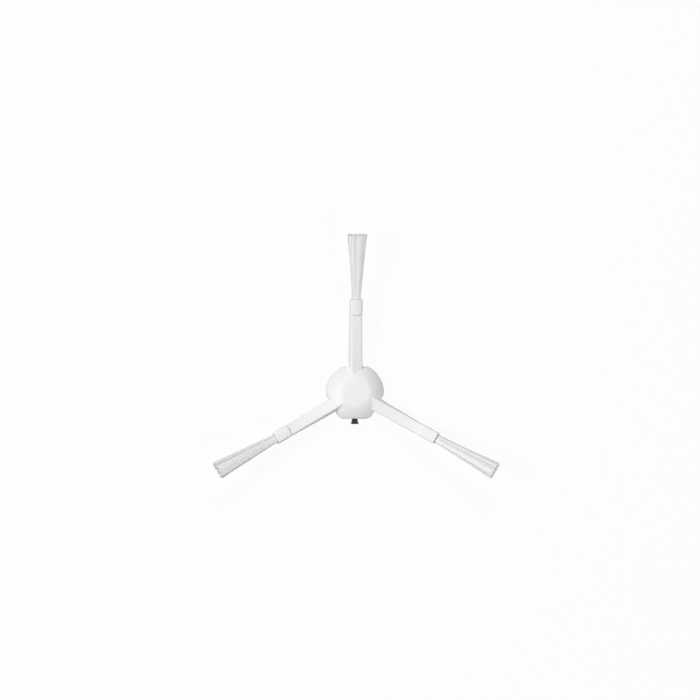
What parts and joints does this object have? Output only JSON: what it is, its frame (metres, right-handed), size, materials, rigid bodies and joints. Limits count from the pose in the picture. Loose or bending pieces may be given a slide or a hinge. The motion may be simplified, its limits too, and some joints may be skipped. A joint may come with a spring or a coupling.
{
  "type": "robot vacuum side brush",
  "caption": "Rotary side brush: a domed hub with pitched, rising arms, a fan of clear bristles at each arm's end and a short dark tuft on the hub's edge, pushed onto a keyed drive shaft.",
  "frame": {"origin": "centre of the drive bore's mouth, in the plane of the hub's back rim", "axes": "+Z along the drive axis out of the dome, towards the floor in use; +Y along the first arm"},
  "size_m": [0.1404, 0.1222, 0.0237],
  "materials": {
    "moulding": "satin",
    "clear_bristle": "satin",
    "dark_bristle": "satin",
    "anchor_wire": "satin"
  },
  "bodies": {
    "root": {"hub_with_arms": "moulding", "bristle_tuft_1": "clear_bristle", "bristle_tuft_2": "clear_bristle", "bristle_tuft_3": "clear_bristle", "tuft_anchor_1": "anchor_wire", "tuft_anchor_2": "anchor_wire", "tuft_anchor_3": "anchor_wire", "short_tuft": "dark_bristle", "short_tuft_anchor": "anchor_wire"}
  },
  "joints": []
}
